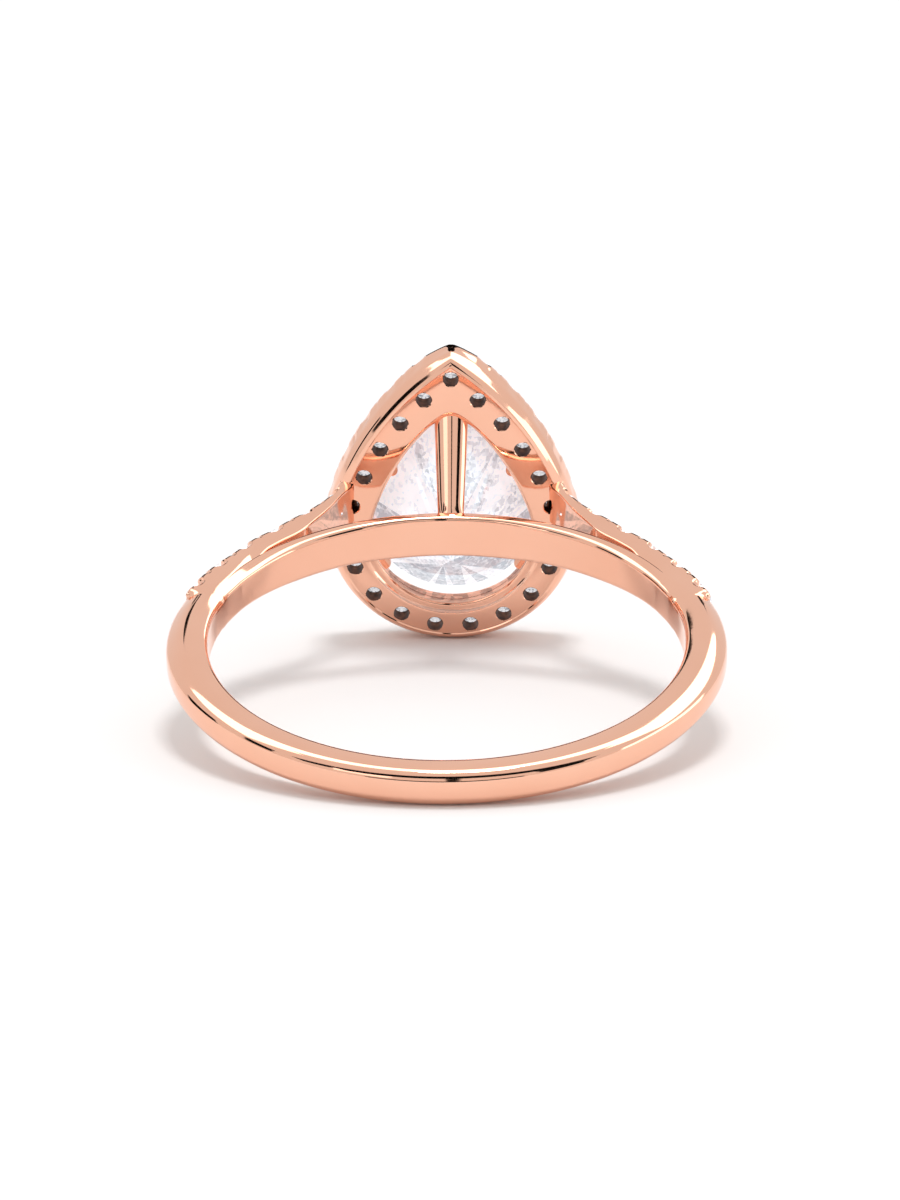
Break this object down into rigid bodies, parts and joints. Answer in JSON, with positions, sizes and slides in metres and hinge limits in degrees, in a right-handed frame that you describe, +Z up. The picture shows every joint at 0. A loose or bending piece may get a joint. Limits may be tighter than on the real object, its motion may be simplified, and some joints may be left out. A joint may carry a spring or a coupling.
{
  "type": "engagement ring",
  "caption": "Pear-shaped halo ring: plain domed band, stone-set tapering shoulders, an inner bridge behind the head and a slanting strut to the pear's point.",
  "frame": {"origin": "on the floor, under the middle of the ring's bounding box, with the ring lying as it rests: on the palm edge of its band and on the lower back edge of its head", "axes": "+X to the ring's right seen from the palm side, +Y from the palm side of the band to the head, +Z up from the floor; the finger axis leans back 13.7 degrees from +Z in the YZ plane"},
  "size_m": [0.0204, 0.024, 0.0118],
  "materials": {
    "rose_gold": "mirror-polished rose gold",
    "diamond": "faceted clear stone"
  },
  "bodies": {
    "root": {"shank": "rose_gold", "finger_bridge": "rose_gold", "halo_frame": "rose_gold", "tip_strut": "rose_gold", "claw_point": "rose_gold", "claw_1": "rose_gold", "claw_2": "rose_gold", "claw_3": "rose_gold", "claw_4": "rose_gold", "centre_diamond": "diamond", "halo_diamond_01": "diamond", "halo_diamond_02": "diamond", "halo_diamond_03": "diamond", "halo_diamond_04": "diamond", "halo_diamond_05": "diamond", "halo_diamond_06": "diamond", "halo_diamond_07": "diamond", "halo_diamond_08": "diamond", "halo_diamond_09": "diamond", "halo_diamond_10": "diamond", "halo_diamond_11": "diamond", "halo_diamond_12": "diamond", "halo_diamond_13": "diamond", "halo_diamond_14": "diamond", "halo_diamond_15": "diamond", "halo_diamond_16": "diamond", "halo_diamond_17": "diamond", "halo_diamond_18": "diamond", "halo_diamond_19": "diamond", "halo_diamond_20": "diamond", "halo_diamond_21": "diamond", "left_shoulder_diamond_1": "diamond", "left_shoulder_diamond_2": "diamond", "left_shoulder_diamond_3": "diamond", "left_shoulder_diamond_4": "diamond", "left_shoulder_diamond_5": "diamond", "left_shoulder_diamond_6": "diamond", "right_shoulder_diamond_1": "diamond", "right_shoulder_diamond_2": "diamond", "right_shoulder_diamond_3": "diamond", "right_shoulder_diamond_4": "diamond", "right_shoulder_diamond_5": "diamond", "right_shoulder_diamond_6": "diamond"}
  },
  "joints": []
}
